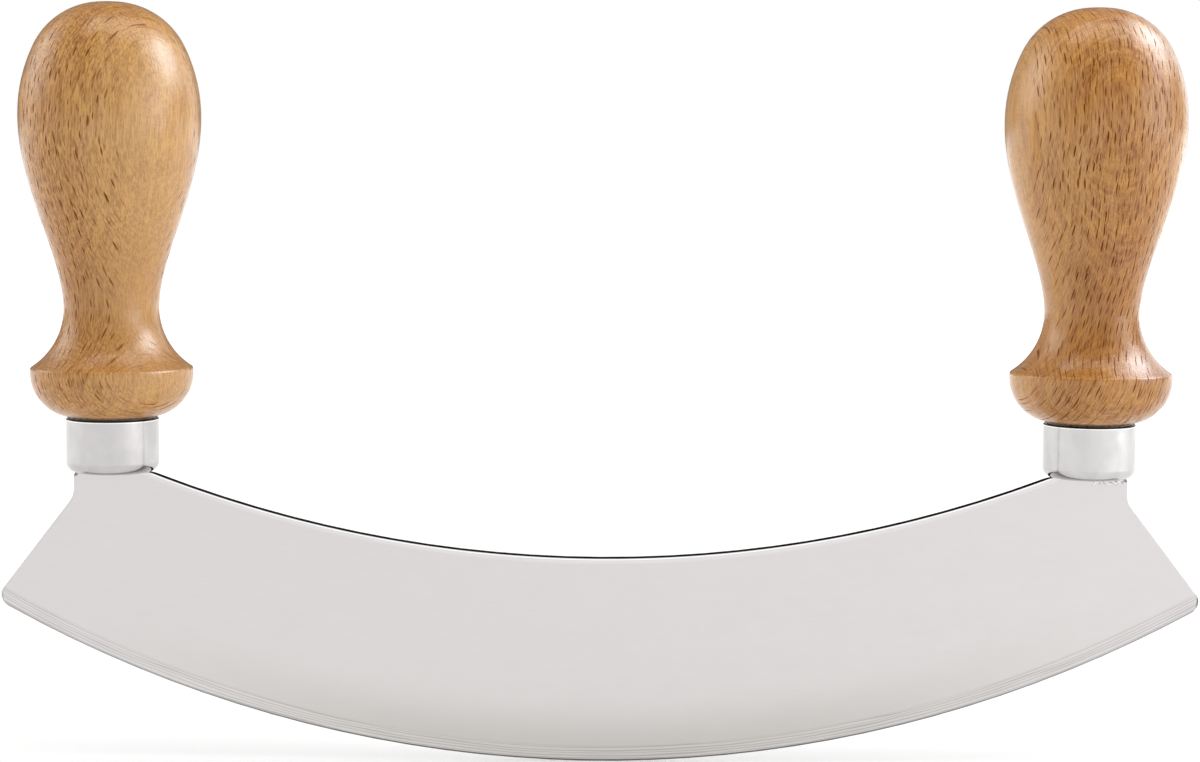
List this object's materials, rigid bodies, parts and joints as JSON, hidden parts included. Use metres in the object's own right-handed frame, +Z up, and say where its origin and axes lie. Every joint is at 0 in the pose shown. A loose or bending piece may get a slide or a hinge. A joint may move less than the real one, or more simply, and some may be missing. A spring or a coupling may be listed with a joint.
{
  "type": "mezzaluna",
  "caption": "Crescent chopping blade that rocks on its curved edge, with an upright turned wooden handle and a metal ferrule at each end.",
  "frame": {"origin": "the lowest point of the cutting edge, in the middle of the blade and of its thickness, which is the bottom centre of the object's box", "axes": "+X along the blade, +Y through its thickness away from the viewer, +Z up towards the handles"},
  "size_m": [0.2304, 0.0344, 0.1453],
  "materials": {
    "blade_steel": "fine satin stainless steel",
    "ferrule_metal": "bright plated, softly polished",
    "beech": "turned beech under a satin lacquer"
  },
  "bodies": {
    "root": {"blade": "blade_steel", "left_ferrule": "ferrule_metal", "right_ferrule": "ferrule_metal", "left_handle": "beech", "right_handle": "beech"}
  },
  "joints": []
}
